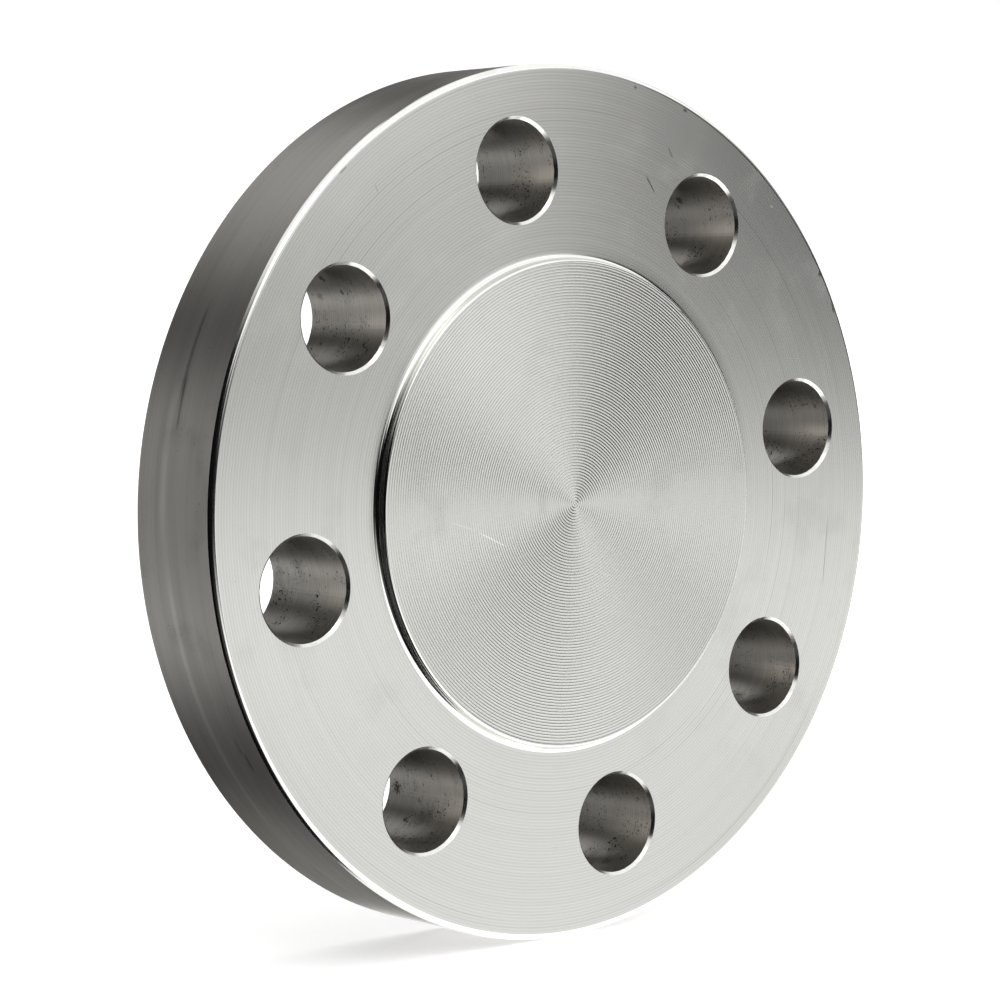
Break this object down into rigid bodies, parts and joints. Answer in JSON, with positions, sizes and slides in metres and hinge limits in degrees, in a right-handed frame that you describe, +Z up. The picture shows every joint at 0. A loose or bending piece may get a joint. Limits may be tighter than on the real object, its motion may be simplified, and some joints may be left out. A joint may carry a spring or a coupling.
{
  "type": "blind flange",
  "caption": "Solid round pipe-end cover: a thick turned steel disc with a low raised sealing face, a ring of bolt holes near its rim and no bore.",
  "frame": {"origin": "centre of the raised sealing face, on the plane of its groove crests, which is the plane that meets the gasket", "axes": "+Y along the disc's axis, from the raised face to the back face, so the raised face looks towards -Y; +Z up with the disc standing upright; +X to the right seen from the front"},
  "size_m": [0.165, 0.0249, 0.165],
  "materials": {
    "flange_steel": "forged stainless steel, turned all over: serrated spiral finish on the raised face, fine turned flange face, coarser turned rim, drilled holes"
  },
  "bodies": {
    "root": {"blind_flange": "flange_steel"}
  },
  "joints": []
}
